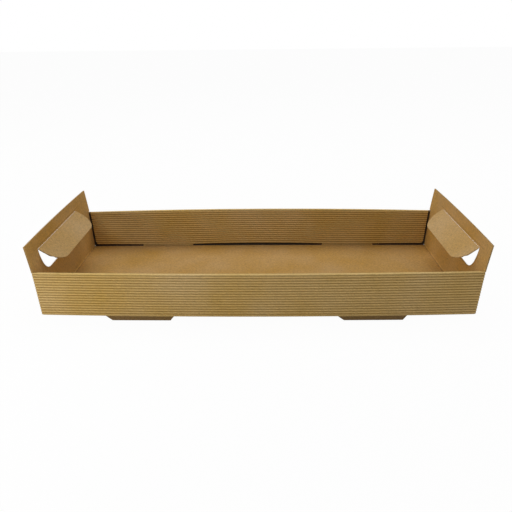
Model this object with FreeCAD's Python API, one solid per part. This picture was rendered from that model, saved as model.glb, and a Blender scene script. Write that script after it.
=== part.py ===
import FreeCAD, Part
import math
import os

# Open tray box folded from one sheet of single-face corrugated board, sizes in millimetres.
# X runs along the tray, Y across it and Z up. The origin is midway along and across the tray,
# level with the lowest edges of the four tabs the tray stands on.

# Board
BOARD = 1.5                 # liner face to ridge crest
RIDGE_DEPTH = 0.7           # crest to valley
RIDGE_PITCH = 3.2           # crest to crest
FLAT_SHARE = 0.25           # share of one pitch that each crest and each valley is flat

# Tray
TRAY_LENGTH = 500.0         # over the two end panels at their folds
TRAY_WIDTH = 204.0          # over the two outer long walls, midway along them
WALL_HEIGHT = 55.5          # underside of the base to the top of the long rims
END_HEIGHT = 88.0           # underside of the base to the top of the end panels, along the panel
END_LEAN = 4.2              # degrees the end panels lean outwards in their middle
TAB_REACH = 7.5             # how far the tabs stand out below the base
RIM_ROUND = 1.2             # radius of the two rim folds

# Inner long walls and their tabs
END_GAP = 3.0               # end of a rim and inner wall to the end panel
FOOT_GAP = 2.5              # floor to the lower edge of an inner wall
FOOT_ROUND = 5.0            # radius of the lower corners of an inner wall
TAB_CENTRE = 135.0          # middle of a wall's pair of tabs to the middle of a tab
TAB_SHIFT = -2.0            # the pairs sit this far to the left of the middle
TAB_NECK = 75.0             # tab width in its slot
TAB_LUG = 80.0              # tab width just below the base
TAB_LEFT_SLOPE = 7.5        # how far a tab's left end slopes in on its way down
TAB_RIGHT_SLOPE = 4.5       # the same for its right end

# Corner flaps, held between the outer and inner long walls
CORNER_FLAP_LENGTH = 68.0
CORNER_FLAP_TAPER = 8.0

# Hand holes and their flaps
HOLE_WIDTH = 131.0
HOLE_HEIGHT = 31.0
HOLE_ROUND = 22.0
HOLE_BELOW_TOP = 16.0       # top edge of the end panel to the flap fold
HOLE_SHIFT = -5.5           # the holes sit this far towards the front of the panels
LEFT_FLAP_FOLD = 60.0       # degrees folded inwards from lying in the hole
RIGHT_FLAP_FOLD = 55.5      # degrees folded inwards from lying in the hole

# Clearances
LAYER_CLEARANCE = 0.3       # between sheets lying side by side in a long wall
SLOT_CLEARANCE = 0.5        # round a tab in its slot
CUT_CLEARANCE = 0.35        # between a flap and the edge it was cut from

# Levels and planes that follow from the sizes
SKIN = BOARD - RIDGE_DEPTH
BASE_UNDER = TAB_REACH
FLOOR = BASE_UNDER + BOARD
RIM = BASE_UNDER + WALL_HEIGHT
OUTER = TRAY_WIDTH / 2
INNER = OUTER - 3 * BOARD - 2 * LAYER_CLEARANCE
WALL_LINER = OUTER - BOARD
END_LINER = TRAY_LENGTH / 2 - BOARD
CORNER_LINER = WALL_LINER - LAYER_CLEARANCE - BOARD
END_TOP = END_HEIGHT - BOARD
HINGE = END_TOP - HOLE_BELOW_TOP
CROSS_PITCH = WALL_LINER / round(WALL_LINER / RIDGE_PITCH)   # on the base and the end panels
BEYOND = 20.0               # how far a cutting block runs past what it cuts

ACROSS = FreeCAD.Vector(0, 1, 0)
FOLD_LINE = FreeCAD.Vector(END_LINER, 0, FLOOR)
HINGE_LINE = FreeCAD.Vector(END_LINER, 0, FLOOR + HINGE)


def vector(x, y, z):
    return FreeCAD.Vector(x, y, z)


def block(x, y, z):
    """Box between the lower and upper limits given for each direction."""
    size = [high - low for low, high in (x, y, z)]
    return Part.makeBox(*size, vector(x[0], y[0], z[0]))


def lines(points):
    return [Part.makeLine(start, end) for start, end in zip(points, points[1:])]


def quarter(start, centre, end):
    """Round edge from start to end about centre, a quarter turn or a little less."""
    spoke = start + end - centre * 2
    middle = centre + spoke * ((start - centre).Length / spoke.Length)
    return Part.Arc(start, middle, end).toShape()


def ridges(start, end, outwards, pitch=RIDGE_PITCH):
    """Points along a row of ridges whose valleys lie on the line from start to end."""
    run = end - start
    count = round(run.Length / pitch)
    rise = outwards * RIDGE_DEPTH
    foot = FLAT_SHARE / 2
    head = 0.5 - FLAT_SHARE / 2
    points = [start]
    for number in range(count):
        for share, height in ((foot, 0), (head, 1), (1 - head, 1), (1 - foot, 0)):
            points.append(start + run * ((number + share) / count) + rise * height)
    points.append(end)
    return points


def prism(edges, run):
    """Solid swept from the closed outline that the edges make."""
    wire = Part.Wire(Part.__sortEdges__(edges))
    return Part.Face(wire).extrude(run)


def polygon_prism(points, run):
    return prism(lines(points + points[:1]), run)


def bend(centre, start, end, run):
    """Solid of a fold: the wedge from start round to end about centre, swept along run."""
    return prism(lines([end, centre, start]) + [quarter(start, centre, end)], run)


def half_section(x):
    """Right half of the section through base, outer wall, rim and inner wall."""
    def at(y, z):
        return vector(x, y, z)

    low = BASE_UNDER + RIDGE_DEPTH
    outer_valley = OUTER - RIDGE_DEPTH
    inner_valley = INNER + RIDGE_DEPTH
    shoulder = RIM - RIM_ROUND
    under_base = ridges(at(0, low), at(WALL_LINER, low), vector(0, 0, -1), CROSS_PITCH)
    outer_wall = ridges(at(outer_valley, FLOOR), at(outer_valley, shoulder), ACROSS)
    inner_wall = ridges(at(inner_valley, shoulder), at(inner_valley, FLOOR + FOOT_GAP), ACROSS * -1)
    rim = [at(outer_valley - RIM_ROUND, RIM), at(inner_valley + RIM_ROUND, RIM)]
    liner = [
        inner_wall[-1],
        at(INNER + BOARD, FLOOR + FOOT_GAP),
        at(INNER + BOARD, RIM - SKIN),
        at(WALL_LINER, RIM - SKIN),
        at(WALL_LINER, FLOOR),
        at(0, FLOOR),
    ]
    edges = lines(under_base) + lines(outer_wall) + lines(rim) + lines(inner_wall) + lines(liner)
    edges.append(quarter(under_base[-1], at(WALL_LINER, FLOOR), outer_wall[0]))
    edges.append(quarter(outer_wall[-1], at(rim[0].y, shoulder), rim[0]))
    edges.append(quarter(rim[1], at(rim[1].y, shoulder), inner_wall[0]))
    return edges


def both_sides(shape, normal):
    """The shape and its mirror image across the middle plane with that normal."""
    return [shape, shape.mirror(vector(0, 0, 0), normal)]


def long_body():
    """Base and both double long walls, longer than the tray."""
    end = TRAY_LENGTH / 2 + BEYOND
    half = half_section(-end)
    mirrored = [edge.mirror(vector(0, 0, 0), ACROSS) for edge in half]
    return prism(half + mirrored, vector(2 * end, 0, 0))


def leaning(shape):
    """The shape turned outwards with the right end panel about its fold."""
    turned = shape.copy()
    turned.rotate(FOLD_LINE, ACROSS, END_LEAN)
    return turned


def end_cuts():
    """Blocks that trim the long body to length at the right end."""
    far = END_LINER + 2 * BEYOND
    high = RIM + BEYOND
    inside = (-WALL_LINER, WALL_LINER)
    everything = (-OUTER - BEYOND, OUTER + BEYOND)
    wall_ends = leaning(block((END_LINER + BOARD, far), everything, (-BEYOND, high)))
    layers = leaning(block((END_LINER - END_GAP, far), inside, (FLOOR + LAYER_CLEARANCE, high)))
    base_end = block((END_LINER, far), inside, (0, high))
    return [wall_ends, layers, base_end]


def foot_corner():
    """Waste outside the rounded lower corner of the right inner wall of the far side."""
    edge = END_LINER - END_GAP
    foot = FLOOR + FOOT_GAP
    corner = block((edge - FOOT_ROUND, edge + END_GAP), (INNER, INNER + BOARD),
                   (foot, foot + FOOT_ROUND))
    middle = vector(edge - FOOT_ROUND, INNER - BOARD, foot + FOOT_ROUND)
    return leaning(corner.cut(Part.makeCylinder(FOOT_ROUND, 3 * BOARD, middle, ACROSS)))


def slot(centre):
    """Opening in the base for the tab of the far side that is centred there along the tray."""
    half = TAB_NECK / 2 + SLOT_CLEARANCE
    return block((centre - half, centre + half),
                 (INNER - SLOT_CLEARANCE, INNER + BOARD + SLOT_CLEARANCE),
                 (0, FLOOR + LAYER_CLEARANCE))


def tab(centre):
    """Tab of the far side, running down from the inner wall through its slot."""
    neck, lug = TAB_NECK / 2, TAB_LUG / 2
    shoulder = BASE_UNDER - LAYER_CLEARANCE
    root = FLOOR + FOOT_GAP
    corners = [
        (lug - TAB_RIGHT_SLOPE, 0),
        (lug, shoulder),
        (neck, shoulder),
        (neck, root),
        (-neck, root),
        (-neck, shoulder),
        (-lug, shoulder),
        (TAB_LEFT_SLOPE - lug, 0),
    ]
    outline = [vector(centre + x, INNER, z) for x, z in corners]
    valley = INNER + RIDGE_DEPTH
    left = centre - lug
    strip = ridges(vector(left, valley, root), vector(left, valley, 0), ACROSS * -1)
    strip += [vector(left, INNER + BOARD, 0), vector(left, INNER + BOARD, root)]
    sheet = polygon_prism(strip, vector(2 * lug, 0, 0))
    return sheet.common(polygon_prism(outline, ACROSS * BOARD))


def hole_outline(shrink):
    """Outline of the right hand hole in the end panel, or of its flap when shrunk."""
    half = HOLE_WIDTH / 2 - shrink
    top = FLOOR + HINGE - shrink
    bottom = FLOOR + HINGE - HOLE_HEIGHT + shrink
    turn = HOLE_ROUND - shrink

    def at(y, z):
        return vector(END_LINER - BEYOND, HOLE_SHIFT + y, z)

    front = [at(-half, top), at(-half, bottom + turn)]
    under = [at(-half + turn, bottom), at(half - turn, bottom)]
    back = [at(half, bottom + turn), at(half, top)]
    edges = lines(front) + lines(under) + lines(back) + lines([back[1], front[0]])
    edges.append(quarter(front[1], at(-half + turn, bottom + turn), under[0]))
    edges.append(quarter(under[1], at(half - turn, bottom + turn), back[0]))
    return prism(edges, vector(2 * BEYOND, 0, 0))


def upright_sheet():
    """Sheet of the right end panel, not yet cut out, with its ridges running up its outside.

    Each ridge goes on from one under the base, and the panel's side edges cut through the last.
    """
    valley = END_LINER + SKIN
    far = WALL_LINER + CROSS_PITCH
    row = ridges(vector(valley, -far, FLOOR), vector(valley, far, FLOOR), vector(1, 0, 0), CROSS_PITCH)
    row += [vector(END_LINER, far, FLOOR), vector(END_LINER, -far, FLOOR)]
    width = block((END_LINER, END_LINER + BOARD), (-OUTER, OUTER), (FLOOR, FLOOR + END_TOP))
    return polygon_prism(row, vector(0, 0, END_TOP)).common(width)


def corner_flap():
    """Corner flap of the right end panel, held inside the far long wall."""
    low = FLOOR
    high = RIM + CORNER_FLAP_TAPER
    tip = END_LINER - CORNER_FLAP_LENGTH
    outline = [
        vector(END_LINER, CORNER_LINER, low),
        vector(END_LINER, CORNER_LINER, high),
        vector(tip + CORNER_FLAP_TAPER, CORNER_LINER, high),
        vector(tip, CORNER_LINER, high - 3 * CORNER_FLAP_TAPER),
        vector(tip, CORNER_LINER, low),
    ]
    sheet = polygon_prism(outline, ACROSS * BOARD)
    edge = bend(outline[0], vector(END_LINER + SKIN, CORNER_LINER, low),
                vector(END_LINER, CORNER_LINER + SKIN, low), vector(0, 0, high - low))
    pocket = block((0, END_LINER + BEYOND), (0, OUTER),
                   (FLOOR + LAYER_CLEARANCE, RIM - SKIN - LAYER_CLEARANCE))
    return leaning(sheet.fuse(edge)).common(pocket)


def base_fold():
    """Fold between the base and the right end panel."""
    centre = vector(END_LINER, -CORNER_LINER, FLOOR)
    lean = math.radians(END_LEAN)
    side = vector(SKIN * math.cos(lean), 0, -SKIN * math.sin(lean))
    return bend(centre, centre - vector(0, 0, SKIN), centre + side, ACROSS * (2 * CORNER_LINER))


def end_panel():
    """Right end panel with its hand hole, its base fold and its two corner flaps."""
    notch_top = RIM + LAYER_CLEARANCE
    notch = block((END_LINER - BEYOND, END_LINER + BEYOND), (CORNER_LINER, OUTER + BEYOND),
                  (0, notch_top))
    panel = upright_sheet().cut(hole_outline(0))
    for side in both_sides(notch, ACROSS):
        panel = panel.cut(side)
    return leaning(panel).fuse([base_fold()] + both_sides(corner_flap(), ACROSS))


def hand_flap(fold):
    """Flap of the right hand hole, folded inwards by that many degrees."""
    flap = upright_sheet().common(hole_outline(CUT_CLEARANCE))
    flap.rotate(HINGE_LINE, ACROSS, fold)
    return leaning(flap)


def folded_tray():
    """The whole blank, folded up."""
    lengthways = vector(1, 0, 0)
    waste = []
    for shape in end_cuts():
        waste += both_sides(shape, lengthways)
    for side in both_sides(foot_corner(), ACROSS):
        waste += both_sides(side, lengthways)
    added = both_sides(end_panel(), lengthways)
    for centre in (TAB_SHIFT - TAB_CENTRE, TAB_SHIFT + TAB_CENTRE):
        waste += both_sides(slot(centre), ACROSS)
        added += both_sides(tab(centre), ACROSS)
    return long_body().cut(waste).fuse(added).removeSplitter()


def save(name, shape):
    solids = shape.Solids
    if len(solids) != 1 or not solids[0].isValid():
        raise ValueError(f"{name} is not one sound solid")
    solids[0].exportStep(f"parts/{name}.step")


os.makedirs("parts", exist_ok=True)
save("folded_tray", folded_tray())
save("left_hand_flap", hand_flap(LEFT_FLAP_FOLD).mirror(vector(0, 0, 0), vector(1, 0, 0)))
save("right_hand_flap", hand_flap(RIGHT_FLAP_FOLD))
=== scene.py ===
"""Tray box folded from one sheet of single-face kraft board, its hand-hole flaps and its stage."""

import math

import bpy
import numpy as np
from bpy.props import FloatProperty, FloatVectorProperty, IntProperty, PointerProperty
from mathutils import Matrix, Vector


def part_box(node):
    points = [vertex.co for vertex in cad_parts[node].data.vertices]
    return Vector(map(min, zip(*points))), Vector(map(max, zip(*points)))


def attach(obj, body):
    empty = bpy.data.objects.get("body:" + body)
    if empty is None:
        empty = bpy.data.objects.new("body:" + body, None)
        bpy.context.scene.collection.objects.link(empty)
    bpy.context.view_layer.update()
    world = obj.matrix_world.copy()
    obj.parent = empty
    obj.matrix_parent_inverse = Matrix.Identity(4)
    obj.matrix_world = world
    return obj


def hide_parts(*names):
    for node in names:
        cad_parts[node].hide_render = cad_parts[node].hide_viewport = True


bl_info = {
    "name": "Cardboard Tray Box",
    "version": (1, 0, 0),
    "blender": (4, 5, 0),
    "location": "3D Viewport > Sidebar > Tray Box",
    "description": "Builds a tray folded from single-face board, its hand-hole flaps and its stage",
    "category": "Add Mesh",
}

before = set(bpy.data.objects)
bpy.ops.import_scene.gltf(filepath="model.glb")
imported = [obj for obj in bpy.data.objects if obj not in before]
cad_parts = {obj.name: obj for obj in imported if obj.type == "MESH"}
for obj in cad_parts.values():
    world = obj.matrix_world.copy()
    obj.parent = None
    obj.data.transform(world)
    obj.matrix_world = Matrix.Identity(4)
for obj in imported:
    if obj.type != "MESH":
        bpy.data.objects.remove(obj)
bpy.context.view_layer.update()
TRAY_LOW, TRAY_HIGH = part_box("folded_tray")

# Material numbers of the faces; the last is liner darkened with painted shade
LINER, RIDGED, CUT, PAINTED_SHADE_LINER = 0, 1, 2, 3

# Crest value of folds, where the ridged paper is palest: rubbed paper with a painted highlight
RUBBED_AND_LIT = 1.3

# Tones, which multiply the paper's colour, all painted light and shade: painted shade at the base's
# side of its fold and a painted highlight at an end panel's side, painted highlight and shade lines
# at rises above a flap's fold, painted shade on the tabs and inside the long walls, and the liner's
# stripes, painted shade of its washboard ripples
FOLD_PAINTED_SHADE, FOLD_PAINTED_HIGHLIGHT = 0.72, 1.22
CREASE_PAINTED_LIGHT_AND_SHADE = ((0.0010, 1.1), (0.0022, 0.7), (0.0034, 1.06), (0.007, 1.0), (0.011, 1.0))
TAB_PAINTED_SHADE, INSIDE_PAINTED_SHADE = 0.42, 0.06
WASHBOARD_PAINTED_SHADE = 0.012

# Rows beside a fold: the first one, and the first where the board is no longer crushed
FIRST_FOLD_ROW = 0.0007
CLEAR_OF_FOLD = 0.002
LEAST_COLUMN = 0.00012      # ridge columns nearer than this to an exact one are left out
FACE_TOLERANCE = 0.0002

# Bows: where a long wall's start and how wide they grow, as shares of the half width, the share
# of the half length in which an end panel's bulge starts, and the powers of that bulge
WALL_BAND_START, WALL_BAND = 0.6, 0.34
END_BAND = 0.04
BOW_POWER, HINGE_POWER, HINGE_BAND = 2, 8, 0.008

WHITE = (1.0, 1.0, 1.0, 1.0)
WHITE_SHARE = 0.97          # of the floor, where it is seen directly
TRAY_MIDDLE = (0.0, 0.0, 0.03)
LAMPS = (                   # name, place, target, size and the setting with its power
    ("top_lamp", (0.0, 0.5, 1.4), TRAY_MIDDLE, 1.0, "top_power"),
    ("fill_lamp", (0.15, -1.4, 0.35), TRAY_MIDDLE, 0.8, "fill_power"),
    ("left_lamp", (-1.4, 0.1, 0.8), TRAY_MIDDLE, 0.8, "left_power"),
    ("right_lamp", (1.3, 0.2, 0.7), TRAY_MIDDLE, 0.6, "right_power"),
    ("front_lamp", (-0.43, -0.4, 0.2), (-0.25, -0.1, 0.04), 0.2, "front_power"),
)


def length(name, description, default):
    return FloatProperty(name=name, description=description, default=default, unit="LENGTH",
                         precision=5)


def angle(name, description, degrees):
    return FloatProperty(name=name, description=description, default=math.radians(degrees),
                         subtype="ANGLE")


def colour(name, description, default):
    return FloatVectorProperty(name=name, description=description, default=default, size=3,
                               min=0.0, max=1.0, subtype="COLOR")


def power(name, description, default):
    return FloatProperty(name=name, description=description, default=default, unit="POWER")


class TrayBoardSettings(bpy.types.PropertyGroup):
    """Sizes and colours of the board and the tray folded from it."""

    tray_length: length("Tray length", "Over the two end panels at their folds", 0.5)
    tray_width: length("Tray width", "Over the outer long walls, midway along them",
                       round(TRAY_HIGH[1] - TRAY_LOW[1], 4))
    wall_height: length("Wall height", "Underside of the base to the top of the long rims", 0.0555)
    end_height: length("End height", "Underside of the tabs to the top of the end panels",
                       TRAY_HIGH[2])
    end_lean: angle("End lean", "How far the end panels lean outwards in their middle", 4.2)
    held_lean: angle("Held lean", "Lean of their side edges where the long walls hold them", 1.5)
    free_lean: angle("Free lean", "Lean of their side edges above the rims", 5.6)
    tab_reach: length("Tab reach", "How far the tabs stand out below the base", 0.0075)
    board: length("Board", "Liner face to ridge crest", 0.0015)
    crushed: length("Crushed board", "Thickness of the board along its folds", 0.0008)
    liner: length("Liner", "Thickness of the flat paper", 0.0003)
    paper: length("Ridged paper", "Thickness of the ridged paper", 0.00025)
    ridge_pitch: length("Ridge pitch", "Crest to crest", 0.0032)
    ridge_steps: IntProperty(name="Ridge steps", description="Faces across one ridge", default=7,
                             min=4, max=16)
    layer_gap: length("Layer gap", "Between sheets that lie side by side in a long wall", 0.0003)
    end_gap: length("End gap", "End of an inner wall to the end panel", 0.003)
    foot_gap: length("Foot gap", "Floor to the lower edge of an inner wall", 0.0025)
    foot_round: length("Foot round", "Radius of an inner wall's lower corners", 0.005)
    tab_centre: length("Tab centre", "Middle of a wall's pair of tabs to a tab's middle", 0.135)
    tab_shift: length("Tab shift", "How far each pair of tabs sits off the middle, along X", -0.002)
    tab_neck: length("Tab neck", "Tab width in its slot", 0.075)
    tab_lug: length("Tab lug", "Tab width just below the base", 0.08)
    tab_left_slope: length("Tab left slope", "How far a tab's left end slopes in", 0.0075)
    tab_right_slope: length("Tab right slope", "How far a tab's right end slopes in", 0.0045)
    slot_gap: length("Slot gap", "Clearance round a tab in its slot", 0.0005)
    corner_flap: length("Corner flap", "Length of the flaps held inside the long walls", 0.068)
    corner_taper: length("Corner taper", "Slope at the end of a corner flap", 0.016)
    hole_width: length("Hole width", "Width of a hand hole", 0.131)
    hole_height: length("Hole height", "Height of a hand hole", 0.031)
    hole_round: length("Hole round", "Radius of a hand hole's lower corners", 0.022)
    hole_below_top: length("Hole below top", "Top of an end panel to its flap's fold", 0.016)
    hole_shift: length("Hole shift", "How far the holes sit off the middle, along Y", -0.0055)
    cut_gap: length("Cut gap", "Between a flap and the edge it was cut from", 0.00035)
    hinge_gap: length("Hinge gap", "Between a flap and the panel at its fold", 0.00015)
    left_fold: angle("Left flap fold", "Its angle from upright plus the end lean", 60)
    right_fold: angle("Right flap fold", "Its angle from upright plus the end lean", 55.5)
    long_bow: length("Long wall bow", "How far a long wall bows outwards midway", 0.002)
    front_sag: length("Front sag", "How far the front of the base sags midway", 0.0019)
    front_rim_sag: length("Front rim sag", "How far the front rim sags midway", 0.0016)
    back_crown: length("Back crown", "How far the back rim rises midway", 0.003)
    foot_crown: length("Foot crown", "How far the back inner wall's lower edge rises midway", 0.001)
    foot_droop: length("Foot droop", "How far an inner wall's foot droops beside a tab", 0.0014)
    # The flaps are cut from the same liner paper: their paler colour is a lit copy of it, painted
    # light
    flap_painted_light_colour: colour("Flap colour", "Flat paper of the flaps", (0.53, 0.335, 0.125))
    liner_colour: colour("Liner colour", "Flat paper", (0.485, 0.277, 0.074))
    # Crests are rubbed paler and also carry a painted highlight; valleys are darkened with painted
    # shade
    crest_rubbed_and_lit_colour: colour("Crest colour", "Ridged paper on its rubbed crests", (0.72, 0.505, 0.185))
    valley_painted_shade_colour: colour("Valley colour", "Ridged paper in its valleys", (0.33, 0.178, 0.036))
    cut_colour: colour("Cut edge colour", "Torn fibres along the cut edges", (0.55, 0.36, 0.15))


class TrayStageSettings(bpy.types.PropertyGroup):
    """Camera, lamps and floor."""

    camera_place: FloatVectorProperty(name="Camera place", description="Where the camera stands",
                                      default=(0.0081, -0.5880, 0.3151), subtype="TRANSLATION")
    camera_turn: FloatVectorProperty(name="Camera turn", description="How the camera is turned",
                                     default=tuple(math.radians(a) for a in (64.644, 0.583, 0.768)),
                                     subtype="EULER")
    lens: FloatProperty(name="Lens", description="Focal length on a 36 mm wide sensor",
                        default=34.875, unit="CAMERA")
    top_power: power("Top lamp", "Power of the lamp overhead", 8.4)
    fill_power: power("Fill lamp", "Power of the lamp at the front", 1.6)
    left_power: power("Left lamp", "Power of the lamp at the left", 6.9)
    right_power: power("Right lamp", "Power of the lamp at the right", 3.4)
    front_power: power("Front lamp", "Power of the small lamp at the front left", 0.58)
    sky: FloatProperty(name="Room light", description="Strength of the even light all round",
                       default=0.19, min=0.0)
    floor_colour: colour("Floor colour", "Pale floor", (0.86, 0.86, 0.86))


def settings():
    return bpy.context.scene.tray_board


class TrayPlan:
    """Planes and levels of the folded blank that follow from the settings, in metres."""

    def __init__(self, sizes):
        self.sizes = sizes
        self.wave = sizes.board - sizes.liner - sizes.paper
        self.least_wave = (sizes.crushed - sizes.liner - sizes.paper) / self.wave
        self.outer = sizes.tray_width / 2
        self.floor = sizes.tab_reach + sizes.board
        self.rim = sizes.tab_reach + sizes.wall_height
        self.end_liner = sizes.tray_length / 2 - sizes.board
        self.wall_liner = self.outer - sizes.board
        self.corner_liner = self.wall_liner - sizes.layer_gap - sizes.board
        self.inner_liner = self.corner_liner - sizes.layer_gap
        self.inner_face = self.inner_liner - sizes.board
        self.foot = self.floor + sizes.foot_gap
        self.shoulder = sizes.tab_reach - sizes.layer_gap
        self.fold_round = 0.0005
        self.end_top = sizes.end_height - self.floor
        self.hinge = self.end_top - sizes.hole_below_top
        self.notch = self.rim - self.floor + sizes.layer_gap
        self.cross_pitch = self.wall_liner / round(self.wall_liner / sizes.ridge_pitch)

    def hole_floor(self, y, shrink=0.0):
        """Height of a hand hole's lower edge up the panel at each y: flat, then a quarter circle
        up to the level where its sides run straight."""
        sizes = self.sizes
        radius = sizes.hole_round - shrink
        reach = np.abs(y - sizes.hole_shift) - (sizes.hole_width / 2 - sizes.hole_round)
        reach = np.clip(reach, 0, radius)
        low = self.hinge - sizes.hole_height + shrink
        return low + radius - np.sqrt(radius ** 2 - reach ** 2)

    def lean(self, height):
        """How far a side edge of an end panel stands out at a height above the floor.

        Two straight slopes, the held one and the free one, meet softly at the rim: the softplus
        of the height over the rim, times the difference of the slopes, is added to the first.
        """
        held, free = math.tan(self.sizes.held_lean), math.tan(self.sizes.free_lean)
        soft = 0.005
        over = np.logaddexp(0, (height - (self.rim - self.floor)) / soft) * soft
        return held * height + (free - held) * over

    def bulge(self, y, height):
        """How much further an end panel stands out away from its side edges.

        Its middle line leans straight, at the end lean, and the bulge falls from there by a
        power of y over the half width. Two makes the bow of the top edge. The power rises
        towards the flap's fold, which so stays straight over the width of the hand hole.
        """
        middle_line = np.maximum(height, 0) * math.tan(self.sizes.end_lean)
        exponent = BOW_POWER + HINGE_POWER * np.exp(-((height - self.hinge) / HINGE_BAND) ** 2)
        share = 1 - np.clip(np.abs(y) / self.outer, 0, 1) ** exponent
        return np.maximum(middle_line - self.lean(height), 0) * share


def leaning(points, plan):
    """Points of the right end, built upright, moved outwards with its side edges."""
    x, z = points[..., 0] - plan.end_liner, points[..., 2] - plan.floor
    leant = points.copy()
    leant[..., 0] += plan.lean(z)
    leant[..., 2] -= x * math.tan(plan.sizes.held_lean)
    return leant


def bowed(points, plan):
    """Points moved by the tray's slight bows.

    Midway along the tray the long walls stand out, the front sags and the back rises, each by
    its amount times one less the square of x over the half length. The tabs' tips stay level.
    The inner walls' lower edges droop beside the tabs, less with the square of the way to the
    middle of the gap. The end panels bulge in their middle.
    """
    sizes = plan.sizes
    x, y, z = points[..., 0], points[..., 1], points[..., 2]
    along = np.clip(1 - (2 * x / sizes.tray_length) ** 2, 0, 1)
    wall = np.clip((np.abs(y) / plan.outer - WALL_BAND_START) / WALL_BAND, 0, 1)
    wall = wall * wall * (3 - 2 * wall)
    inner = np.abs(y) < plan.inner_liner + sizes.layer_gap / 2
    inner &= np.abs(y) > plan.inner_face - FACE_TOLERANCE
    sag, rim_sag = sizes.front_sag, sizes.front_rim_sag
    crown, foot_crown = sizes.back_crown, sizes.foot_crown
    outer_levels = [plan.floor, plan.rim]
    inner_levels = [0, plan.shoulder, plan.floor, plan.foot]
    front = np.where(inner, -np.interp(z, inner_levels, [0, sag, sag, rim_sag]),
                     -np.interp(z, outer_levels, [sag, rim_sag]))
    back = np.where(inner, np.interp(z, inner_levels + [plan.rim], [0, 0, 0, foot_crown, crown]),
                    np.interp(z, outer_levels, [0, crown]))
    tab_edge, wall_end = sizes.tab_centre - sizes.tab_neck / 2, plan.end_liner - sizes.end_gap
    from_middle = np.abs(x - sizes.tab_shift)
    near_tab = np.interp(from_middle, [0, tab_edge, tab_edge + sizes.tab_neck, wall_end],
                         [0, 1, 1, 0])
    squash = np.interp(z, [plan.floor, plan.foot, plan.rim], [0, 1, 0])
    droop = np.where(inner, sizes.foot_droop * near_tab ** 2 * squash, 0)
    at_end = (np.abs(x) - (1 - END_BAND) * plan.end_liner) / (END_BAND * plan.end_liner)
    at_end = np.clip(at_end, 0, 1)
    bent = points.copy()
    bent[..., 0] += np.sign(x) * plan.bulge(y, z - plan.floor) * at_end
    bent[..., 1] = y * (1 - sizes.long_bow / plan.outer)
    bent[..., 1] += np.sign(y) * wall * sizes.long_bow * along
    bent[..., 2] += wall * along * np.where(y < 0, front, back) - droop
    return bent


def thin_sheet(top, under, cells, uv, ridge, tone, material):
    """Closed thin sheet between two grids of points.

    Where cells is true, four neighbouring points make a face on each grid. A cut face closes
    the sheet wherever such a cell has no neighbour, so holes and edges are closed alike.
    Ridge is how far each point stands up its wave, and tone brightens or darkens the paper with
    painted light and shade.
    """
    rows, columns = top.shape[:2]
    index = np.arange(rows * columns).reshape(rows, columns)
    count = rows * columns
    a, b = index[:-1, :-1][cells], index[:-1, 1:][cells]
    c, d = index[1:, 1:][cells], index[1:, :-1][cells]
    flat_top, flat_under = top.reshape(-1, 3), under.reshape(-1, 3)
    facing = np.cross(flat_top[c] - flat_top[a], flat_top[d] - flat_top[b])
    outwards = np.sum(facing * (flat_top[a] - flat_under[a])) > 0
    upper = np.stack([a, b, c, d], 1)
    lower = np.stack([d, c, b, a], 1) + count
    padded = np.pad(cells, 1)
    walls = []
    for first, second, before, after in (
            (index[:, :-1], index[:, 1:], padded[:-1, 1:-1], padded[1:, 1:-1]),
            (index[1:, :], index[:-1, :], padded[1:-1, :-1], padded[1:-1, 1:])):
        for edge, start, end in ((after & ~before, first, second),
                                 (before & ~after, second, first)):
            p, q = start[edge], end[edge]
            walls.append(np.stack([q, p, p + count, q + count], 1))
    walls = np.concatenate(walls)
    quads = np.concatenate([upper, lower, walls])
    if not outwards:
        quads = quads[:, ::-1]
    kinds = np.concatenate([np.full(2 * len(upper), material), np.full(len(walls), CUT)])
    points = np.concatenate([flat_top, flat_under])
    coordinates = np.tile(uv.reshape(-1, 2), (2, 1))
    heights = np.tile(ridge.reshape(-1), 2)
    tones = np.tile(np.broadcast_to(tone, top.shape[:2]).reshape(-1), 2)
    used = np.zeros(len(points), bool)
    used[quads] = True
    renumber = np.cumsum(used) - 1
    return {"points": points[used], "quads": renumber[quads], "kinds": kinds,
            "uv": coordinates[used], "ridge": heights[used], "tone": tones[used]}


def grid(*coordinates):
    """Points, or directions, from their three coordinates, each an array or one value."""
    return np.stack(np.broadcast_arrays(*coordinates), -1)


def board_sheets(points, outwards, across, line, cells, keep, along, plan, tone=1.0, side=LINER):
    """The liner and the ridged paper of one stretch of board.

    The liner lies between the points and the same points moved one liner thickness outwards.
    The middle of the ridged paper lies half a paper and its wave's height further out, and its
    two faces half a paper to either side along the wave's own normal. The liner is flat across
    the ridges, so it only takes the columns in keep. Side is the liner's material.
    """
    sizes = plan.sizes
    shape = points.shape[:2]
    outwards, across = (np.broadcast_to(way, points.shape) for way in (outwards, across))
    wave, slope, share, phase = (np.broadcast_to(line[name], shape)
                                 for name in ("wave", "slope", "share", "phase"))
    uv = np.stack([along, phase], -1)
    tone = np.broadcast_to(tone, shape)
    far = points + outwards * sizes.liner
    liner = thin_sheet(far[:, keep], points[:, keep], cells[:, keep[:-1]], uv[:, keep],
                       np.zeros((shape[0], len(keep))), tone[:, keep], side)
    normal = outwards - across * slope[..., None]
    normal = normal / np.linalg.norm(normal, axis=-1, keepdims=True)
    middle = far + outwards * (sizes.paper / 2 + wave)[..., None]
    half = normal * sizes.paper / 2
    ridged = thin_sheet(middle + half, middle - half, cells, uv, share, tone, RIDGED)
    return [liner, ridged]


def moved(sheet, change):
    return dict(sheet, points=change(sheet["points"]))


def mirrored(sheet, axis):
    """Mirror image across the plane square to that axis, with its faces turned back outwards."""
    points = sheet["points"].copy()
    points[:, axis] *= -1
    return dict(sheet, points=points, quads=sheet["quads"][:, ::-1])


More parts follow.
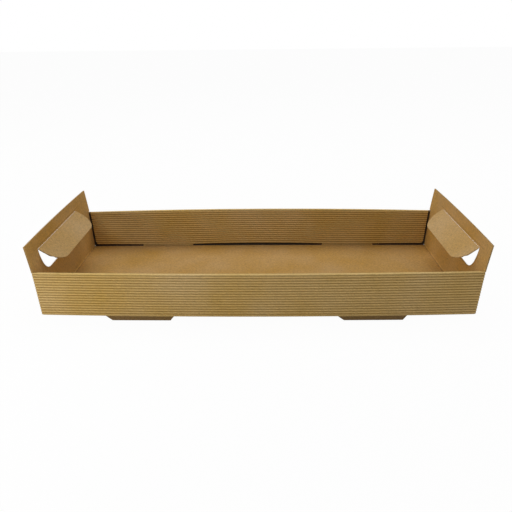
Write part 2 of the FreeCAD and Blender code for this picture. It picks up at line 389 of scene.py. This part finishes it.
def folded_path(start, heading, parts, plan):
    """Line of the liner's face across the ridges, through straight runs and folds.

    A run is ("run", length, ridge number at its start, at its end, crushed at its start,
    crushed at its end, flat) and a fold is ("fold", radius), a quarter turn to the left. Ridges
    stand out to the right. On a run the wave's height is half of one less the cosine of the
    ridge number's turn, times the full height, falling to the crushed height beside a fold.
    A flat run and a fold have no wave, and their share takes the palest crest colour: rubbed paper
    with a painted highlight.
    """
    steps = plan.sizes.ridge_steps
    flat_wave = plan.wave * plan.least_wave * 0.6
    place, heading = np.array(start, float), np.array(heading, float)
    reached = 0.0
    out = {name: [] for name in ("place", "tangent", "phase", "wave", "share", "keep")}
    for part in parts:
        left = np.array([-heading[1], heading[0]])
        if part[0] == "run":
            _, size, first, last, crushed_start, crushed_end, flat = part
            count = 3 if flat else max(3, round((last - first) * steps) + 1)
            t = np.linspace(0, 1, count)
            crush = np.ones_like(t)
            ramp = plan.sizes.ridge_pitch / 2
            if crushed_start:
                crush = np.minimum(crush, t * size / ramp)
            if crushed_end:
                crush = np.minimum(crush, (1 - t) * size / ramp)
            crush = plan.least_wave + (1 - plan.least_wave) * crush
            phases = first + (last - first) * t
            waves = plan.wave * crush * (1 - np.cos(2 * np.pi * phases)) / 2
            shares = waves / plan.wave
            if flat:
                waves, shares = np.full_like(t, flat_wave), np.full_like(t, RUBBED_AND_LIT)
            places = place + heading * (t * size)[:, None]
            tangents = np.tile(heading, (len(t), 1))
            keeps = np.zeros(len(t), bool)
            keeps[[0, -1]] = True
            keeps[::4 * steps] = True
            place = places[-1]
            reached = last
        else:
            radius = part[1]
            angles = np.linspace(0, np.pi / 2, 6)[1:-1]
            centre = place + left * radius
            tangents = np.outer(np.cos(angles), heading) + np.outer(np.sin(angles), left)
            places = centre + radius * np.stack([tangents[:, 1], -tangents[:, 0]], 1)
            waves = np.full(len(angles), flat_wave)
            shares = np.full(len(angles), RUBBED_AND_LIT)
            phases = np.full(len(angles), reached)
            keeps = np.ones(len(angles), bool)
            place = centre + radius * heading
            heading = left
        for name, values in zip(out, (places, tangents, phases, waves, shares, keeps)):
            out[name].append(values)
    joined = {name: np.concatenate(values) for name, values in out.items()}
    steps_along = np.linalg.norm(np.diff(joined["place"], axis=0), axis=1)
    distance = np.concatenate([[0], np.cumsum(steps_along + 1e-9)])
    joined["slope"] = np.gradient(joined["wave"], distance)
    joined["out"] = np.stack([joined["tangent"][:, 1], -joined["tangent"][:, 0]], 1)
    return joined


def long_wall(plan):
    """Sheets of the back double wall: base strip, outer wall, rim and inner wall.

    Their shared line lies in the Y-Z plane and is carried along X. The rows of the grid are
    fixed places along X, and only the last row at each end follows the wall's own end.
    """
    sizes = plan.sizes
    small = plan.fold_round
    pitch = sizes.ridge_pitch
    strip_start = plan.inner_face - sizes.slot_gap
    strip = plan.wall_liner - small - strip_start
    rim_liner = plan.rim - sizes.crushed
    wall_rise = rim_liner - small - plan.floor
    wall_ridges = round(wall_rise / pitch)
    inner_run = rim_liner - small - plan.foot
    top_run = plan.wall_liner - plan.inner_liner - 2 * small
    line = folded_path((strip_start, plan.floor), (1, 0), [
        ("run", strip, strip_start / plan.cross_pitch, (strip_start + strip) / plan.cross_pitch,
         False, True, False),
        ("fold", small),
        ("run", wall_rise - small, wall_ridges * small / wall_rise, wall_ridges, True, True, False),
        ("fold", small),
        ("run", top_run, 0, 0, True, True, True),
        ("fold", small),
        ("run", inner_run, 0, round(inner_run / pitch), True, False, False),
    ], plan)
    y, z = line["place"].T
    rim_middle = (plan.wall_liner + plan.inner_liner) / 2
    turned_in = (y < plan.wall_liner - small - 1e-6) & (z > plan.floor + small)
    on_strip = z < plan.floor + small / 2
    edge = plan.lean(z - plan.floor)
    end = np.where(turned_in, plan.end_liner - sizes.end_gap, plan.end_liner + sizes.board) + edge
    end = np.where(on_strip, plan.end_liner - small, end)
    near_foot = np.clip(plan.foot + sizes.foot_round - z, 0, sizes.foot_round)
    rounding = sizes.foot_round - np.sqrt(np.maximum(sizes.foot_round ** 2 - near_foot ** 2, 0))
    end = np.where(turned_in & (y < rim_middle), end - rounding, end)
    half_slot = sizes.tab_neck / 2 + sizes.slot_gap
    slot_in, slot_out = sizes.tab_centre - half_slot, sizes.tab_centre + half_slot
    fixed = np.array([0, 0.032, 0.065, slot_in, 0.116, sizes.tab_centre, 0.154, slot_out, 0.195,
                      0.215, 0.228, 0.237])
    rows = np.concatenate([-fixed[:0:-1], fixed]) + sizes.tab_shift
    x = np.concatenate([-end[None], np.tile(rows[:, None], (1, len(y))), end[None]])
    middle_x = (x[:-1, 0] + x[1:, 0]) / 2 - sizes.tab_shift
    in_slot_x = (np.abs(middle_x) > slot_in) & (np.abs(middle_x) < slot_out)
    in_slot_y = ((y[:-1] + y[1:]) / 2 < plan.inner_liner + sizes.slot_gap) & on_strip[:-1]
    cells = ~(in_slot_x[:, None] & in_slot_y[None])
    keep = line["keep"].copy()
    keep[np.flatnonzero(in_slot_y)[-1] + 1] = True
    keep[-2 * sizes.ridge_steps:] = True
    return board_sheets(grid(x, y, z), grid(0.0, *line["out"].T), grid(0.0, *line["tangent"].T),
                        line, cells, np.flatnonzero(keep), x, plan, side=PAINTED_SHADE_LINER)


def tab(centre, plan):
    """Sheets of one back tab, running down from the inner wall through its slot.

    Each column is a level from the inner wall's lower edge down to the tab's tip, and its
    ends follow the tab's outline: the neck, then the wider lug that slopes in to the tip.
    """
    sizes = plan.sizes
    tip = 0.00006
    neck_levels = np.linspace(plan.foot, plan.shoulder, sizes.ridge_steps)
    lug_levels = np.linspace(plan.shoulder, tip, 2 * sizes.ridge_steps + 1)
    z = np.concatenate([neck_levels, lug_levels])
    on_lug = np.arange(len(z)) >= len(neck_levels)
    sloped = (plan.shoulder - z) / plan.shoulder
    left = np.where(on_lug, sizes.tab_lug / 2 - sizes.tab_left_slope * sloped, sizes.tab_neck / 2)
    right = np.where(on_lug, sizes.tab_lug / 2 - sizes.tab_right_slope * sloped, sizes.tab_neck / 2)
    share = np.linspace(0, 1, 7)[:, None]
    x = centre - left + (left + right) * share
    turn = (plan.foot - z) / sizes.ridge_pitch
    line = {
        "phase": turn,
        "wave": plan.wave * (1 - np.cos(2 * np.pi * turn)) / 2,
        "slope": plan.wave * np.pi / sizes.ridge_pitch * np.sin(2 * np.pi * turn),
    }
    line["share"] = line["wave"] / plan.wave
    cells = np.ones((x.shape[0] - 1, x.shape[1] - 1), bool)
    cells[:, len(neck_levels) - 1] = False
    keep = np.array([0, len(neck_levels) - 1, len(neck_levels), len(z) - 1])
    return board_sheets(grid(x, plan.inner_liner, z), grid(0.0, -1.0, 0.0), grid(0.0, 0.0, -1.0),
                        line, cells, keep, x, plan, side=PAINTED_SHADE_LINER)


def ridge_columns(low, high, extra, plan):
    """Places across the ridges from low to high: every step of every ridge, and the extra ones."""
    step = plan.cross_pitch / plan.sizes.ridge_steps
    regular = np.arange(-round(plan.outer / step), round(plan.outer / step) + 1) * step
    extra = np.array([low, high, *extra])
    regular = regular[(regular > low) & (regular < high)]
    near = np.min(np.abs(regular[:, None] - extra[None]), axis=1) < LEAST_COLUMN
    places = np.concatenate([regular[~near], extra])
    order = np.argsort(places)
    return places[order], np.isin(places[order], extra)


def cross_line(y, crush, plan):
    """Wave of the ridges that run along X on the base and up the end panels."""
    turn = y / plan.cross_pitch
    wave = plan.wave * crush * (1 - np.cos(2 * np.pi * turn)) / 2
    slope = plan.wave * crush * np.pi / plan.cross_pitch * np.sin(2 * np.pi * turn)
    return {"phase": turn, "wave": wave, "slope": slope, "share": wave / plan.wave}


def hole_columns(plan, shrink=0.0):
    """Places along Y that a hand hole's outline needs: its sides and the starts of its rounds."""
    sizes = plan.sizes
    half = sizes.hole_width / 2 - shrink
    steps = sizes.hole_round * (1 - np.cos(np.radians([0, 6, 14, 24, 90])))
    return np.concatenate([sizes.hole_shift - half + steps, sizes.hole_shift + half - steps])


def floor_and_ends(plan):
    """Sheets of the base and both end panels with their hand holes, as one strip of board.

    The columns are places across the ridges, along Y. The rows run from the top of the left
    end panel down, round its fold, along the base and up the right end panel. On a panel they
    fall in three bands: up to the hole's lower edge, which follows its outline, up to the
    flap's fold, and up to the top.
    """
    sizes = plan.sizes
    corner = plan.corner_liner - plan.fold_round
    base_edge = plan.inner_face - sizes.slot_gap
    extra = [-corner, corner, -base_edge, base_edge, *hole_columns(plan)]
    y, exact = ridge_columns(-plan.outer, plan.outer, extra, plan)
    offset = np.abs(y - sizes.hole_shift)
    in_hole = offset < sizes.hole_width / 2 + 1e-9
    side_level = plan.hinge - sizes.hole_height + sizes.hole_round
    beside = corner + sizes.hole_shift - sizes.hole_width / 2
    beyond = np.clip((offset - sizes.hole_width / 2) / beside, 0, 1)
    lower = plan.hole_floor(y) + (plan.notch - side_level) * beyond
    lower = np.where(np.abs(y) > corner - 1e-9, plan.notch, lower)

    radius = 0.0006
    quarter = math.pi / 2 - sizes.held_lean
    start = radius * math.tan(quarter / 2)
    base_end = plan.end_liner - start
    one = np.ones_like(y)
    rows = []
    for x in (0, 0.06, 0.12, 0.175, 0.225, base_end - CLEAR_OF_FOLD):
        rows.append(("base", x, plan.floor, (0, -1), 1.0, x, 1.0))
    # Painted shade on the base beside its fold to the end panel, turning round the fold into a
    # painted highlight on the panel's side
    rows.append(("base", base_end - FIRST_FOLD_ROW, plan.floor, (0, -1), 0.5, base_end, FOLD_PAINTED_SHADE))
    for turn in np.linspace(0, quarter, 5):
        normal = (math.sin(turn), -math.cos(turn))
        rows.append(("fold", base_end + radius * normal[0], plan.floor + radius * (1 + normal[1]),
                     normal, plan.least_wave, base_end + radius * turn,
                     FOLD_PAINTED_SHADE + (FOLD_PAINTED_HIGHLIGHT - FOLD_PAINTED_SHADE) * turn / quarter))
    upright = (math.cos(sizes.held_lean), -math.sin(sizes.held_lean))
    first = start + CLEAR_OF_FOLD
    crushed_top = np.where(in_hole, 0.45, 1.0)
    over_hole = np.where(in_hole, 1.0, 0.0)
    panel = [("low", start + FIRST_FOLD_ROW, 0.5, FOLD_PAINTED_HIGHLIGHT), ("low", first, 1.0, 1.0)]
    panel += [("low", first + (lower - first) * share, 1.0, 1.0) for share in (0.25, 0.5, 0.75)]
    panel += [("hole", lower, 1.0, 1.0)]
    panel += [("hole", lower + (plan.hinge - lower) * share, 1.0, 1.0) for share in (0.33, 0.67)]
    panel += [("top", plan.hinge, crushed_top, 1.0)]
    # Painted highlight and shade lines on the panel just above the flap's fold, over the hand
    # hole's width
    panel += [("top", plan.hinge + rise, 1.0, 1 + (tone - 1) * over_hole)
              for rise, tone in CREASE_PAINTED_LIGHT_AND_SHADE]
    panel += [("top", plan.end_top, 1.0, 1.0)]
    for band, height, crush, tone in panel:
        rows.append((band, plan.end_liner + plan.lean(height), plan.floor + height, upright, crush,
                     plan.end_liner + height, tone))

    bands = [row[0] for row in rows]
    right = np.stack([np.stack([row[1] * one, y, row[2] * one], -1) for row in rows])
    out = np.stack([np.tile([row[3][0], 0.0, row[3][1]], (len(y), 1)) for row in rows])
    crush, along, tone = (np.stack([row[number] * one for row in rows]) for number in (4, 5, 6))
    flip = np.array([-1.0, 1.0, 1.0])
    points = np.concatenate([right[:0:-1] * flip, right])
    outwards = np.concatenate([out[:0:-1] * flip, out])
    crush = np.concatenate([crush[:0:-1], crush])
    along = np.concatenate([-along[:0:-1], along])
    tone = np.concatenate([tone[:0:-1], tone])

    middle = (y[:-1] + y[1:]) / 2
    rules = {
        "base": np.abs(middle) < base_edge,
        "fold": np.abs(middle) < corner,
        "low": np.abs(middle) < corner,
        "hole": np.abs(middle - sizes.hole_shift) > sizes.hole_width / 2,
        "top": np.ones_like(middle, bool),
    }
    right_cells = np.stack([rules[band] for band in bands[:-1]])
    cells = np.concatenate([right_cells[::-1], right_cells])
    in_round = (np.abs(offset - sizes.hole_width / 2) < sizes.hole_round + 0.0004) & in_hole
    keep = exact | in_round
    keep[::5 * sizes.ridge_steps] = True
    keep[[0, -1]] = True
    return board_sheets(points, outwards, grid(0.0, 1.0, 0.0), cross_line(y, crush, plan), cells,
                        np.flatnonzero(keep), along, plan, tone)


def corner_flap(plan):
    """Sheets of the right end panel's corner flap inside the back wall, with its fold.

    Its line across the ridges lies in the X-Y plane and is carried up the leaning panel,
    between the levels that the base and the rim leave free.
    """
    sizes = plan.sizes
    small = plan.fold_round
    run = sizes.corner_flap - small
    line = folded_path((plan.end_liner, plan.corner_liner - small - 0.0001), (0, 1), [
        ("fold", small),
        ("run", run, 0, round(run / sizes.ridge_pitch), True, False, False),
    ], plan)
    x, y = line["place"].T
    rise = (plan.end_liner - x) * math.tan(sizes.held_lean)
    low = plan.floor + sizes.layer_gap - rise
    high = plan.rim - sizes.crushed - 2 * sizes.layer_gap - rise
    tip = plan.end_liner - sizes.corner_flap
    high = high - np.clip(tip + sizes.corner_taper - x, 0, None) * 1.5
    share = np.array([0.0, 0.25, 0.5, 0.75, 1.0])[:, None]
    z = low + (high - low) * share
    cells = np.ones((len(share) - 1, len(x) - 1), bool)
    keep = line["keep"].copy()
    keep[-5 * sizes.ridge_steps::4] = True
    keep[-1] = True
    sheets = board_sheets(grid(x, y, z), grid(*line["out"].T, 0.0), grid(*line["tangent"].T, 0.0),
                          line, cells, np.flatnonzero(keep), z, plan, side=PAINTED_SHADE_LINER)
    return [moved(sheet, lambda p: leaning(p, plan)) for sheet in sheets]


def hand_flap(fold, plan):
    """Sheets of the right hand hole's flap, folded inwards.

    It is worked out hanging upright: the columns are places along Y, the rows run from its
    free edge, which follows the hole's outline, up to its fold. Then it turns about the fold
    by the fold angle less the end lean, and moves out to where the bowed panel carries it.
    """
    sizes = plan.sizes
    gap = sizes.cut_gap
    half = sizes.hole_width / 2 - gap
    low, high = sizes.hole_shift - half, sizes.hole_shift + half
    rounds = np.delete(hole_columns(plan, gap), [0, 5])     # the two sides are low and high
    y, exact = ridge_columns(low, high, rounds, plan)
    lower = plan.hole_floor(y, gap)
    upper = plan.hinge - sizes.hinge_gap
    near = upper - CLEAR_OF_FOLD
    levels = [(lower + (near - lower) * share, 1.0) for share in (0.0, 0.2, 0.4, 0.6, 0.8)]
    levels += [(near, 1.0), (upper - FIRST_FOLD_ROW, 0.6), (upper, 0.3)]
    one = np.ones_like(y)
    height = np.stack([level * one for level, _ in levels])
    crush = np.stack([share * one for _, share in levels])
    points = grid(plan.end_liner, y, plan.floor + height)
    cells = np.ones((len(height) - 1, len(y) - 1), bool)
    keep = exact | (np.minimum(y - low, high - y) < sizes.hole_round)
    keep[::5 * sizes.ridge_steps] = True
    sheets = board_sheets(points, grid(1.0, 0.0, 0.0), grid(0.0, 1.0, 0.0),
                          cross_line(y, crush, plan), cells, np.flatnonzero(keep), height, plan)
    turn = fold - sizes.end_lean

    def place(p):
        """Turned about its fold, then moved out to where the panel carries the fold."""
        x, z = p[..., 0] - plan.end_liner, p[..., 2] - plan.floor - plan.hinge
        turned = p.copy()
        carried = plan.end_liner + plan.lean(plan.hinge) + plan.bulge(p[..., 1], plan.hinge)
        turned[..., 0] = carried + x * math.cos(turn) + z * math.sin(turn)
        turned[..., 1] = p[..., 1] * (1 - sizes.long_bow / plan.outer)
        turned[..., 2] = plan.floor + plan.hinge - x * math.sin(turn) + z * math.cos(turn)
        return turned

    return [moved(sheet, place) for sheet in sheets]


def whole_blank(plan):
    """Sheets of the folded blank: floor and ends, long walls, tabs and corner flaps, all bowed."""
    sheets = floor_and_ends(plan)
    back = long_wall(plan)
    for side in (-1, 1):
        back += tab(plan.sizes.tab_shift + side * plan.sizes.tab_centre, plan)
    corner = corner_flap(plan)
    back += corner + [mirrored(sheet, 0) for sheet in corner]
    sheets += back + [mirrored(sheet, 1) for sheet in back]
    return [moved(sheet, lambda p: bowed(p, plan)) for sheet in sheets]


def make_piece(name, sheets, materials, body, node):
    """One mesh object from all the sheets, riding on the body and standing for the CAD node."""
    starts = np.cumsum([0] + [len(sheet["points"]) for sheet in sheets])[:-1]
    points = np.concatenate([sheet["points"] for sheet in sheets])
    quads = np.concatenate([sheet["quads"] + start for sheet, start in zip(sheets, starts)])
    kinds = np.concatenate([sheet["kinds"] for sheet in sheets])
    uv = np.concatenate([sheet["uv"] for sheet in sheets])
    mesh = bpy.data.meshes.new(name)
    mesh.vertices.add(len(points))
    mesh.vertices.foreach_set("co", points.astype(np.float32).ravel())
    mesh.loops.add(quads.size)
    mesh.loops.foreach_set("vertex_index", quads.astype(np.int32).ravel())
    mesh.polygons.add(len(quads))
    mesh.polygons.foreach_set("loop_start", np.arange(0, quads.size, 4, dtype=np.int32))
    mesh.polygons.foreach_set("material_index", kinds.astype(np.int32))
    mesh.update(calc_edges=True)
    layer = mesh.uv_layers.new(name="Sheet")
    layer.data.foreach_set("uv", uv[quads.ravel()].astype(np.float32).ravel())
    for label, key in (("crest", "ridge"), ("tone", "tone")):
        values = np.concatenate([sheet[key] for sheet in sheets]).astype(np.float32)
        mesh.attributes.new(label, "FLOAT", "POINT").data.foreach_set("value", values)
    mesh.validate()
    mesh.polygons.foreach_set("use_smooth", np.ones(len(mesh.polygons), bool))
    mesh.set_sharp_from_angle(angle=math.radians(50))
    for material in materials:
        mesh.materials.append(material)
    piece = bpy.data.objects.new(name, mesh)
    bpy.context.scene.collection.objects.link(piece)
    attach(piece, body)
    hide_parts(node)


def add_node(tree, kind, inputs=None, **values):
    """Shader node with its properties set and its inputs given as values or as sockets."""
    node = tree.nodes.new(kind)
    for name, value in values.items():
        setattr(node, name, value)
    for key, value in (inputs or {}).items():
        if isinstance(value, bpy.types.NodeSocket):
            tree.links.new(value, node.inputs[key])
        else:
            node.inputs[key].default_value = value
    return node


def maths(tree, operation, first, second=0.0):
    return add_node(tree, "ShaderNodeMath", {0: first, 1: second}, operation=operation).outputs[0]


def kraft_group():
    """Kraft paper as a node group: broad mottling, cloudy formation, long fibres and specks.

    The paper's value is one plus each noise, centred on nought and times its amount. Fibres
    are a noise stretched along the sheet. Specks are the few Voronoi cells whose own random
    value passes a limit, drawn as small dots.
    """
    name = "Kraft paper"
    if name in bpy.data.node_groups:
        return bpy.data.node_groups[name]
    tree = bpy.data.node_groups.new(name, "ShaderNodeTree")
    sockets = tree.interface
    sockets.new_socket("Paper", in_out="INPUT", socket_type="NodeSocketColor")
    for label in ("Mottling", "Clouding", "Fibres", "Specks"):
        sockets.new_socket(label, in_out="INPUT", socket_type="NodeSocketFloat")
    sockets.new_socket("Colour", in_out="OUTPUT", socket_type="NodeSocketColor")
    for label in ("Roughness", "Height"):
        sockets.new_socket(label, in_out="OUTPUT", socket_type="NodeSocketFloat")
    group_in = tree.nodes.new("NodeGroupInput")
    place = tree.nodes.new("ShaderNodeTexCoord")
    sheet = add_node(tree, "ShaderNodeUVMap", uv_map="Sheet").outputs["UV"]
    stretched = add_node(tree, "ShaderNodeMapping", {"Vector": sheet, "Scale": (260, 7.0, 1.0)})

    def noise(vector, scale, detail, rough):
        made = add_node(tree, "ShaderNodeTexNoise",
                        {"Vector": vector, "Scale": scale, "Detail": detail, "Roughness": rough})
        return maths(tree, "SUBTRACT", made.outputs["Fac"], 0.5)

    broad = noise(place.outputs["Object"], 16.0, 3.0, 0.5)
    cloud = noise(place.outputs["Object"], 420.0, 6.0, 0.7)
    fibre = noise(stretched.outputs["Vector"], 1.0, 4.0, 0.6)
    cells = add_node(tree, "ShaderNodeTexVoronoi",
                     {"Vector": place.outputs["Object"], "Scale": 620.0, "Randomness": 1.0})
    random = add_node(tree, "ShaderNodeSeparateColor", {"Color": cells.outputs["Color"]})
    chosen = maths(tree, "GREATER_THAN", random.outputs[0], 0.86)
    dot = maths(tree, "LESS_THAN", cells.outputs["Distance"], 0.28)
    speck = maths(tree, "MULTIPLY", chosen, dot)

    value = 1.0
    for operation, mark, label in (("ADD", broad, "Mottling"), ("ADD", cloud, "Clouding"),
                                   ("ADD", fibre, "Fibres"), ("SUBTRACT", speck, "Specks")):
        amount = maths(tree, "MULTIPLY", mark, group_in.outputs[label])
        value = maths(tree, operation, value, amount)
    richer = maths(tree, "SUBTRACT", 1.0, maths(tree, "MULTIPLY", broad, 0.35))
    toned = add_node(tree, "ShaderNodeHueSaturation",
                     {"Color": group_in.outputs["Paper"], "Value": value, "Saturation": richer})
    rough = maths(tree, "ADD", 0.86, maths(tree, "MULTIPLY", cloud, 0.25))
    height = maths(tree, "ADD", *(maths(tree, "MULTIPLY", mark, 0.6) for mark in (cloud, fibre)))
    add_node(tree, "NodeGroupOutput",
             {"Colour": toned.outputs["Color"], "Roughness": rough, "Height": height})
    return tree


def empty_material(name):
    """The material of that name, made if it isn't there, and its emptied node tree."""
    material = bpy.data.materials.get(name) or bpy.data.materials.new(name)
    material.use_nodes = True
    material.node_tree.nodes.clear()
    return material, material.node_tree


def paper_material(name, paper, amounts, bump, shade=None, valley=None):
    """Matt kraft paper. shade, if given, returns the tone factor of painted shade that multiplies
    its colour, and valley the colour it has where the crest value is nought, darkened with painted
    shade in the ridges' valleys."""
    material, tree = empty_material(name)
    kraft = add_node(tree, "ShaderNodeGroup", node_tree=kraft_group())
    kraft.inputs["Paper"].default_value = (*paper, 1.0)
    if valley is not None:
        crest = add_node(tree, "ShaderNodeAttribute", attribute_name="crest").outputs["Fac"]
        mix = add_node(tree, "ShaderNodeMix", data_type="RGBA", clamp_factor=True)
        tree.links.new(crest, mix.inputs["Factor"])
        for socket, value in ((mix.inputs[6], valley), (mix.inputs[7], paper)):
            socket.default_value = (*value, 1.0)
        tree.links.new(mix.outputs[2], kraft.inputs["Paper"])
    for label, amount in amounts.items():
        kraft.inputs[label].default_value = amount
    value = add_node(tree, "ShaderNodeAttribute", attribute_name="tone").outputs["Fac"]
    if shade:
        value = maths(tree, "MULTIPLY", value, shade(tree))
    tone = add_node(tree, "ShaderNodeHueSaturation",
                    {"Color": kraft.outputs["Colour"], "Value": value}).outputs["Color"]
    relief = add_node(tree, "ShaderNodeBump",
                      {"Height": kraft.outputs["Height"], "Strength": bump, "Distance": 0.0002})
    surface = add_node(tree, "ShaderNodeBsdfPrincipled", {
        "Base Color": tone,
        "Roughness": kraft.outputs["Roughness"],
        "Normal": relief.outputs["Normal"],
        "Specular IOR Level": 0.6,
    })
    add_node(tree, "ShaderNodeOutputMaterial", {"Surface": surface.outputs["BSDF"]})
    return material


def inside_painted_shade_factor(tree):
    """Painted shade on a liner: darkest deep inside the long walls, less on the tabs under the
    base.
    """
    place = add_node(tree, "ShaderNodeTexCoord").outputs["Object"]
    height = add_node(tree, "ShaderNodeSeparateXYZ", {"Vector": place}).outputs["Z"]
    under = settings().tab_reach
    return add_node(tree, "ShaderNodeMapRange", {
        "Value": height, "From Min": under, "From Max": under + 0.001,
        "To Min": TAB_PAINTED_SHADE, "To Max": INSIDE_PAINTED_SHADE}).outputs[0]


def washboard_painted_shade_factor(tree):
    """Faint stripes, one to each ridge, where the liner is glued to the ridged paper: painted shade
    of the liner's washboard ripples.
    """
    sheet = add_node(tree, "ShaderNodeUVMap", uv_map="Sheet").outputs["UV"]
    split = add_node(tree, "ShaderNodeSeparateXYZ", {"Vector": sheet})
    wave = maths(tree, "COSINE", maths(tree, "MULTIPLY", split.outputs["Y"], 2 * math.pi))
    return maths(tree, "SUBTRACT", 1.0, maths(tree, "MULTIPLY", wave, WASHBOARD_PAINTED_SHADE))


def kraft_materials(prefix, flat_colour):
    """Liner, ridged paper, cut edge and liner darkened with painted shade, in the order of the
    faces' numbers.
    """
    sizes = settings()
    smooth = {"Mottling": 0.22, "Clouding": 1.2, "Fibres": 0.6, "Specks": 0.35}
    ridged = {"Mottling": 0.2, "Clouding": 0.6, "Fibres": 0.4, "Specks": 0.25}
    cut = {"Mottling": 0.1, "Clouding": 0.5, "Fibres": 0.2, "Specks": 0.1}
    return [
        paper_material(prefix + "_liner", flat_colour, smooth, 0.25, washboard_painted_shade_factor),
        # Ridged paper from the valley colour, painted shade, to the crest colour, rubbed paper with
        # a painted highlight
        paper_material("kraft_ridges", sizes.crest_rubbed_and_lit_colour, ridged, 0.3, valley=sizes.valley_painted_shade_colour),
        paper_material("kraft_cut_edge", sizes.cut_colour, cut, 0.6),
        # Liner paper darkened with painted shade: near black inside the long walls, dimmer on the
        # tabs
        paper_material("kraft_inside", sizes.liner_colour, smooth, 0.25, inside_painted_shade_factor),
    ]


class TRAY_OT_folded_blank(bpy.types.Operator):
    """Build the folded blank: base, double long walls, end panels, tabs and corner flaps"""

    bl_idname = "tray.folded_blank"
    bl_label = "Folded blank"

    def execute(self, context):
        plan = TrayPlan(context.scene.tray_board)
        materials = kraft_materials("kraft", plan.sizes.liner_colour)
        make_piece("tray_board", whole_blank(plan), materials, "tray", "folded_tray")
        return {"FINISHED"}


class TRAY_OT_hand_flaps(bpy.types.Operator):
    """Build the two flaps cut out of the hand holes"""

    bl_idname = "tray.hand_flaps"
    bl_label = "Hand-hole flaps"

    def execute(self, context):
        plan = TrayPlan(context.scene.tray_board)
        left = [mirrored(sheet, 0) for sheet in hand_flap(plan.sizes.left_fold, plan)]
        right = hand_flap(plan.sizes.right_fold, plan)
        # The flaps' liner takes the paler, lit copy of the paper's colour: painted light
        materials = kraft_materials("flap", plan.sizes.flap_painted_light_colour)
        make_piece("left_flap_board", left, materials, "left_flap", "left_hand_flap")
        make_piece("right_flap_board", right, materials, "right_flap", "right_hand_flap")
        return {"FINISHED"}


def seen_directly(tree):
    """One where a ray looks straight, in a mirror or through glass, and nought otherwise."""
    path = tree.nodes.new("ShaderNodeLightPath")
    direct = maths(tree, "MAXIMUM", path.outputs["Is Camera Ray"], path.outputs["Is Glossy Ray"])
    return maths(tree, "MAXIMUM", direct, path.outputs["Is Transmission Ray"])


def floor_material(pale):
    """Pale floor that takes the object's shadow. The camera sees it mostly as plain white."""
    material, tree = empty_material("pale_floor")
    matt = add_node(tree, "ShaderNodeBsdfDiffuse", {"Color": (*pale, 1.0)}).outputs[0]
    white = add_node(tree, "ShaderNodeEmission", {"Color": WHITE, "Strength": 1.0}).outputs[0]
    seen = add_node(tree, "ShaderNodeMixShader", {"Fac": WHITE_SHARE, 1: matt, 2: white}).outputs[0]
    mixed = add_node(tree, "ShaderNodeMixShader", {"Fac": seen_directly(tree), 1: matt, 2: seen})
    add_node(tree, "ShaderNodeOutputMaterial", {"Surface": mixed.outputs[0]})
    return material


def white_surroundings(strength):
    """Even room light that the camera sees as white."""
    world = bpy.context.scene.world or bpy.data.worlds.new("Room")
    bpy.context.scene.world = world
    world.use_nodes = True
    tree = world.node_tree
    tree.nodes.clear()
    level = add_node(tree, "ShaderNodeMapRange",
                     {"Value": seen_directly(tree), "To Min": strength, "To Max": 1.0})
    light = add_node(tree, "ShaderNodeBackground", {"Color": WHITE, "Strength": level.outputs[0]})
    add_node(tree, "ShaderNodeOutputWorld", {"Surface": light.outputs[0]})


def soft_lamp(name, place, target, size, energy):
    """Square area lamp at place, turned towards target."""
    data = bpy.data.lights.new(name, "AREA")
    data.shape = "SQUARE"
    data.size = size
    data.energy = energy
    lamp = bpy.data.objects.new(name, data)
    lamp.location = place
    lamp.rotation_euler = (Vector(target) - Vector(place)).to_track_quat("-Z", "Y").to_euler()
    bpy.context.scene.collection.objects.link(lamp)


class TRAY_OT_stage(bpy.types.Operator):
    """Set the pale floor, the soft lamps, the room light and the camera"""

    bl_idname = "tray.stage"
    bl_label = "Stage"

    def execute(self, context):
        scene = context.scene
        stage = scene.tray_stage
        half = 6.0
        mesh = bpy.data.meshes.new("pale_floor")
        mesh.from_pydata([(-half, -half, 0), (half, -half, 0), (half, half, 0), (-half, half, 0)],
                         [], [(0, 1, 2, 3)])
        mesh.materials.append(floor_material(stage.floor_colour))
        floor = bpy.data.objects.new("pale_floor", mesh)
        scene.collection.objects.link(floor)
        white_surroundings(stage.sky)
        for name, place, target, size, setting in LAMPS:
            soft_lamp(name, place, target, size, getattr(stage, setting))
        camera = bpy.data.objects.new("camera", bpy.data.cameras.new("camera"))
        camera.location = stage.camera_place
        camera.rotation_euler = stage.camera_turn
        camera.data.sensor_width = 36.0
        camera.data.lens = stage.lens
        camera.data.clip_start = 0.01
        camera.data.clip_end = 50.0
        scene.collection.objects.link(camera)
        scene.camera = camera
        scene.view_settings.view_transform = "Standard"
        return {"FINISHED"}


class TRAY_PT_sidebar(bpy.types.Panel):
    """Sizes, colours and steps of the tray box"""

    bl_label = "Tray Box"
    bl_idname = "TRAY_PT_sidebar"
    bl_space_type = "VIEW_3D"
    bl_region_type = "UI"
    bl_category = "Tray Box"

    def draw(self, context):
        layout = self.layout
        for group in (context.scene.tray_board, context.scene.tray_stage):
            column = layout.column(align=True)
            for name in group.__annotations__:
                column.prop(group, name)
        for operator in STEPS:
            layout.operator(operator.bl_idname)


STEPS = (TRAY_OT_folded_blank, TRAY_OT_hand_flaps, TRAY_OT_stage)
CLASSES = (TrayBoardSettings, TrayStageSettings, *STEPS, TRAY_PT_sidebar)


def register():
    for cls in CLASSES:
        bpy.utils.register_class(cls)
    bpy.types.Scene.tray_board = PointerProperty(type=TrayBoardSettings)
    bpy.types.Scene.tray_stage = PointerProperty(type=TrayStageSettings)


def unregister():
    del bpy.types.Scene.tray_stage
    del bpy.types.Scene.tray_board
    for cls in reversed(CLASSES):
        bpy.utils.unregister_class(cls)


def main():
    """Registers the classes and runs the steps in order."""
    register()
    bpy.ops.tray.folded_blank()
    bpy.ops.tray.hand_flaps()
    bpy.ops.tray.stage()


if __name__ == "__main__":
    main()
